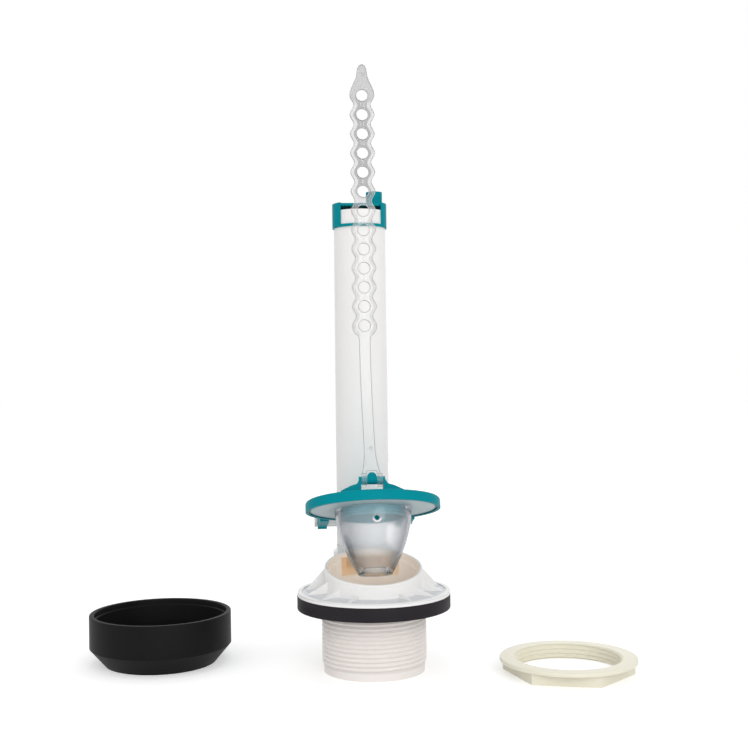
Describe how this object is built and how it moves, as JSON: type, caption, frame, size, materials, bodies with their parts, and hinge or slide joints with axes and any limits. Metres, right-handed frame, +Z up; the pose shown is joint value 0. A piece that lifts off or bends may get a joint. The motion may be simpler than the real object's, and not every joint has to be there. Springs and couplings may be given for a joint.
{
  "type": "toilet flush valve",
  "caption": "Toilet flush valve with a threaded shank, ribbed flange, overflow tube, hinged flapper with a clear air cone and lift strap, and a loose locknut and tank gasket.",
  "frame": {"origin": "on the axis of the outlet bore, at the foot of the threaded shank", "axes": "+Z up along the outlet bore, +Y from the outlet bore to the overflow tube, +X along the flapper's hinge"},
  "size_m": [0.2976, 0.1368, 0.3319],
  "materials": {
    "body_white": "satin",
    "tube_white": "satin",
    "gasket_black": "matte",
    "teal_plastic": "satin",
    "seal_grey": "satin",
    "cone_clear": "gloss",
    "strap_clear": "gloss",
    "nut_ivory": "satin",
    "cup_black": "matte"
  },
  "bodies": {
    "valve": {"valve_body": "body_white", "overflow_tube": "tube_white", "flange_gasket": "gasket_black", "refill_collar": "teal_plastic"},
    "flapper": {"flapper_frame": "teal_plastic", "flapper_seal": "seal_grey"},
    "cone": {"air_cone": "cone_clear"},
    "strap": {"lift_strap": "strap_clear"},
    "nut": {"locknut": "nut_ivory"},
    "cup": {"tank_gasket": "cup_black"}
  },
  "joints": [
    {"name": "flapper_hinge", "type": "hinge", "parent": "valve", "child": "flapper", "pos_m": [0, 0.059, 0.074], "axis": [-1, 0, 0], "range_deg": [-29, 34]},
    {"name": "strap_swing", "type": "hinge", "parent": "flapper", "child": "strap", "pos_m": [0, 0.00332, 0.1029], "axis": [-1, 0, 0], "range_deg": [-34, 29]},
    {"name": "cone_dial", "type": "hinge", "parent": "flapper", "child": "cone", "pos_m": [0, -0.00123, 0.08704], "axis": [0, 0.2756, 0.9613], "range_deg": [-90, 90]},
    {"name": "nut_lift", "type": "slide", "parent": "valve", "child": "nut", "axis": [0, 0, 1], "range_m": [0, 0.03]},
    {"name": "cup_lift", "type": "slide", "parent": "valve", "child": "cup", "axis": [0, 0, 1], "range_m": [0, 0.03]}
  ],
  "couplings": [
    {"joint": "strap_swing", "follows": "flapper_hinge", "ratio": -1}
  ]
}
